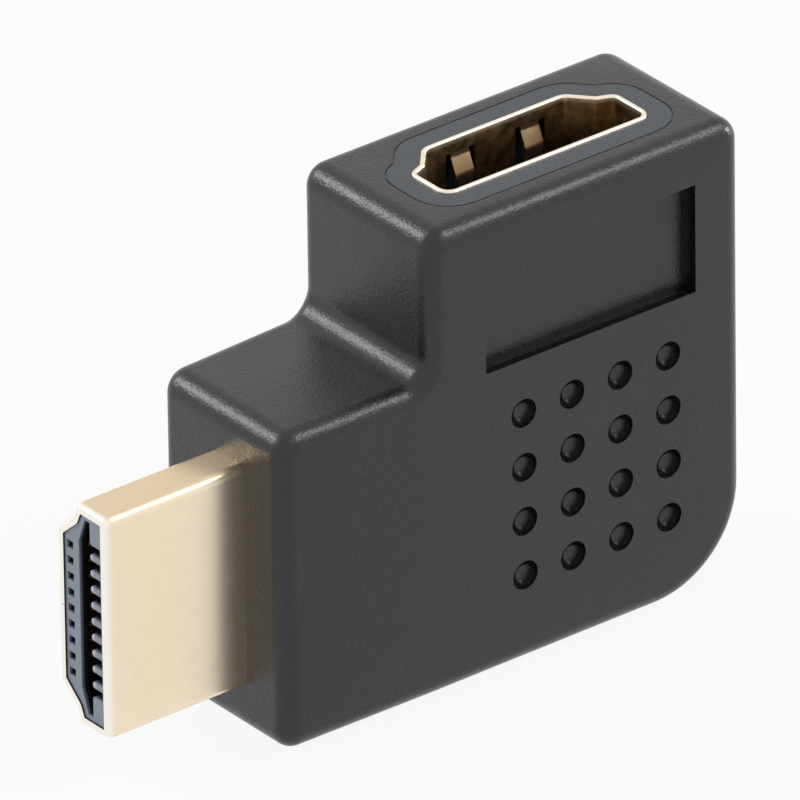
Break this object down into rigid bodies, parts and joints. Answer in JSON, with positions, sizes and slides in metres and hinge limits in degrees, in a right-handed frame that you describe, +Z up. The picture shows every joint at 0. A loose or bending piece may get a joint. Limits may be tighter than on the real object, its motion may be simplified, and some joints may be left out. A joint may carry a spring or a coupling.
{
  "type": "hdmi adapter",
  "caption": "Flat right-angle video adapter: black moulded L-shaped body with a gold-plated plug on its side and a matching socket on top.",
  "frame": {"origin": "under the middle of the whole part, on the surface that its foot stands on", "axes": "+X from the plug towards the far side of the body, +Y from the front with the dimples to the back, +Z up, out of the socket"},
  "size_m": [0.042, 0.0116, 0.0291],
  "materials": {
    "black_overmould": "fine matte texture",
    "grey_mould": "smooth satin",
    "board_laminate": "solder mask",
    "plug_gold_plating": "satin pale gold plating",
    "plug_insulator_plastic": "satin",
    "socket_gold_plating": "satin gold plating",
    "socket_insulator_plastic": "satin",
    "contact_gold": "bright gold plating"
  },
  "bodies": {
    "root": {"housing": "black_overmould", "inner_mould": "grey_mould", "circuit_board": "board_laminate", "plug_shell": "plug_gold_plating", "plug_insulator": "plug_insulator_plastic", "socket_shell": "socket_gold_plating", "socket_insulator": "socket_insulator_plastic", "plug_contact_01": "contact_gold", "plug_contact_02": "contact_gold", "plug_contact_03": "contact_gold", "plug_contact_04": "contact_gold", "plug_contact_05": "contact_gold", "plug_contact_06": "contact_gold", "plug_contact_07": "contact_gold", "plug_contact_08": "contact_gold", "plug_contact_09": "contact_gold", "plug_contact_10": "contact_gold", "plug_contact_11": "contact_gold", "plug_contact_12": "contact_gold", "plug_contact_13": "contact_gold", "plug_contact_14": "contact_gold", "plug_contact_15": "contact_gold", "plug_contact_16": "contact_gold", "plug_contact_17": "contact_gold", "plug_contact_18": "contact_gold", "plug_contact_19": "contact_gold", "socket_contact_01": "contact_gold", "socket_contact_02": "contact_gold", "socket_contact_03": "contact_gold", "socket_contact_04": "contact_gold", "socket_contact_05": "contact_gold", "socket_contact_06": "contact_gold", "socket_contact_07": "contact_gold", "socket_contact_08": "contact_gold", "socket_contact_09": "contact_gold", "socket_contact_10": "contact_gold", "socket_contact_11": "contact_gold", "socket_contact_12": "contact_gold", "socket_contact_13": "contact_gold", "socket_contact_14": "contact_gold", "socket_contact_15": "contact_gold", "socket_contact_16": "contact_gold", "socket_contact_17": "contact_gold", "socket_contact_18": "contact_gold", "socket_contact_19": "contact_gold"}
  },
  "joints": []
}
